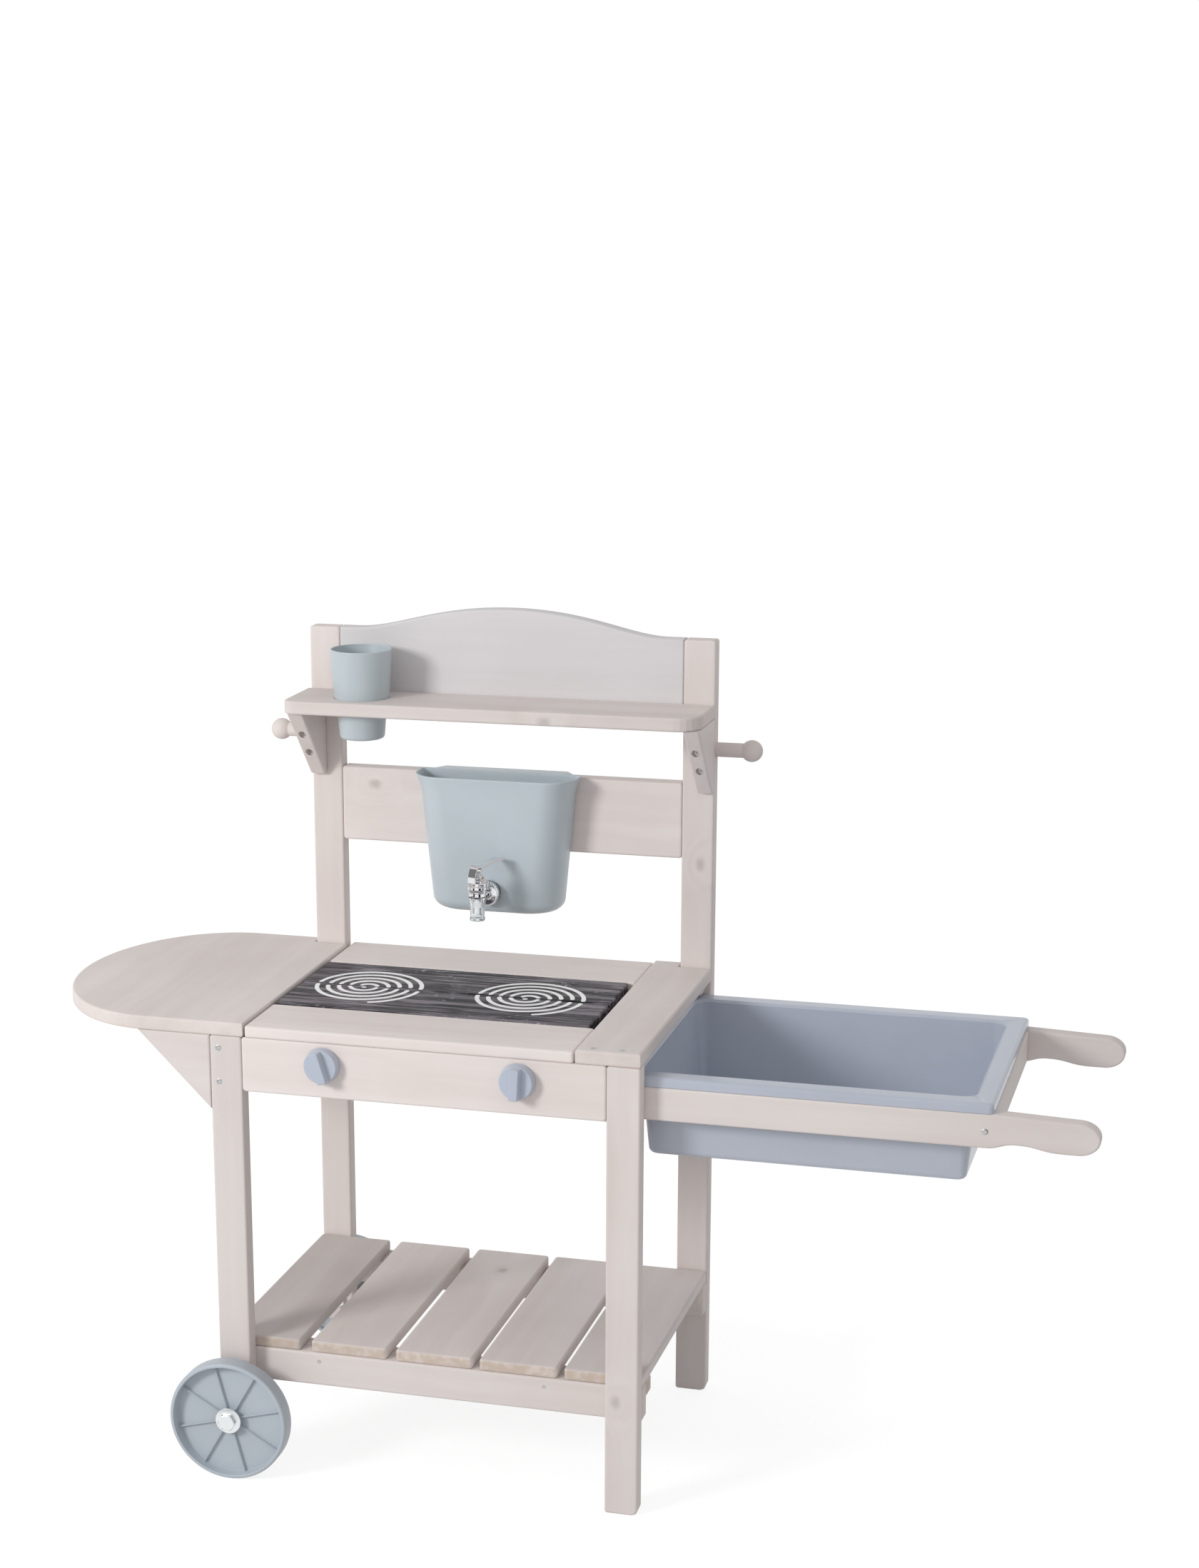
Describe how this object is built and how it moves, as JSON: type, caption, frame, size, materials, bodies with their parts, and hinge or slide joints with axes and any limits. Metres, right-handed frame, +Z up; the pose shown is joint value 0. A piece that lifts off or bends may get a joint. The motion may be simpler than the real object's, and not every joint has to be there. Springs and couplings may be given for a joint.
{
  "type": "mud kitchen",
  "caption": "Toy mud kitchen on two wheels: worktop with rounded leaf and painted hob, slide-out tub between handle rails, shelf with cup, and a hooked-on water tank with tap.",
  "frame": {"origin": "on the floor, under the middle of the whole object", "axes": "+X to the right along the worktop towards the tub, +Y to the back, +Z up"},
  "size_m": [1.278, 0.479, 1.014],
  "materials": {
    "limed_wood": "softwood with a thin pinkish grey limewash, grain and knots showing through",
    "black_stain": "softwood stained black, with a white painted spiral on each hob",
    "lilac_plastic": "satin moulded plastic, greyish lilac",
    "green_plastic": "satin moulded plastic, pale greyish green-blue",
    "zinc": "bright zinc plate",
    "chrome": "mirror-bright plated plastic",
    "clear_plastic": "clear moulded plastic",
    "seal_rubber": "matt black rubber"
  },
  "bodies": {
    "stand": {"leg_front_left": "limed_wood", "leg_front_right": "limed_wood", "post_back_left": "limed_wood", "post_back_right": "limed_wood", "front_apron": "limed_wood", "back_apron": "limed_wood", "side_apron_left": "limed_wood", "lower_rail_front": "limed_wood", "lower_rail_back": "limed_wood", "slat_cleat_front": "limed_wood", "slat_cleat_back": "limed_wood", "slat_1": "limed_wood", "slat_2": "limed_wood", "slat_3": "limed_wood", "slat_4": "limed_wood", "slat_5": "limed_wood", "worktop_board_front": "limed_wood", "worktop_board_back": "limed_wood", "leaf_board": "limed_wood", "end_board_right": "limed_wood", "leaf_bracket_front": "limed_wood", "leaf_bracket_back": "limed_wood", "upper_guide_front": "limed_wood", "upper_guide_back": "limed_wood", "lower_guide_front": "limed_wood", "lower_guide_back": "limed_wood", "crest_board": "limed_wood", "middle_board": "limed_wood", "upper_shelf": "limed_wood", "shelf_bracket_left": "limed_wood", "shelf_bracket_right": "limed_wood", "peg_left": "limed_wood", "peg_right": "limed_wood", "hob_board_front": "black_stain", "hob_board_back": "black_stain", "worktop_batten_left": "black_stain", "worktop_batten_right": "black_stain", "axle_bolt_front": "zinc", "axle_bolt_back": "zinc", "axle_nut_front": "zinc", "axle_nut_back": "zinc"},
    "sliding_tub": {"tub_rail_front": "limed_wood", "tub_rail_back": "limed_wood", "crossbar_right": "limed_wood", "crossbar_left": "limed_wood", "tub": "lilac_plastic"},
    "tank": {"water_tank": "green_plastic", "tap_body": "chrome", "tap_collar": "chrome", "tap_seal": "seal_rubber", "tap_lock_nut": "clear_plastic", "tap_spout": "clear_plastic"},
    "lever": {"tap_lever": "chrome"},
    "cup": {"cup": "green_plastic"},
    "knob_left": {"knob_left": "lilac_plastic", "knob_screw_left": "zinc"},
    "knob_right": {"knob_right": "lilac_plastic", "knob_screw_right": "zinc"},
    "wheel_front": {"wheel_front": "lilac_plastic"},
    "wheel_back": {"wheel_back": "lilac_plastic"}
  },
  "joints": [
    {"name": "tub_slide", "type": "slide", "parent": "stand", "child": "sliding_tub", "axis": [-1, 0, 0], "range_m": [0, 0.397]},
    {"name": "tank_lift", "type": "slide", "parent": "stand", "child": "tank", "axis": [0, 0, 1], "range_m": [0, 0.04]},
    {"name": "lever_tilt", "type": "hinge", "parent": "tank", "child": "lever", "pos_m": [-0.147, 0.07209, 0.6982], "axis": [-0.9272, 0.3746, 0], "range_deg": [0, 30]},
    {"name": "cup_lift", "type": "slide", "parent": "stand", "child": "cup", "axis": [0, 0, 1], "range_m": [0, 0.06]},
    {"name": "knob_left_turn", "type": "hinge", "parent": "stand", "child": "knob_left", "pos_m": [-0.256, -0.2025, 0.5295], "axis": [0, -1, 0], "continuous": true},
    {"name": "knob_right_turn", "type": "hinge", "parent": "stand", "child": "knob_right", "pos_m": [-0.0184, -0.2025, 0.5295], "axis": [0, -1, 0], "continuous": true},
    {"name": "wheel_front_spin", "type": "hinge", "parent": "stand", "child": "wheel_front", "pos_m": [-0.378, -0.2025, 0.075], "axis": [0, 1, 0], "continuous": true},
    {"name": "wheel_back_spin", "type": "hinge", "parent": "stand", "child": "wheel_back", "pos_m": [-0.378, 0.2025, 0.075], "axis": [0, 1, 0], "continuous": true}
  ]
}
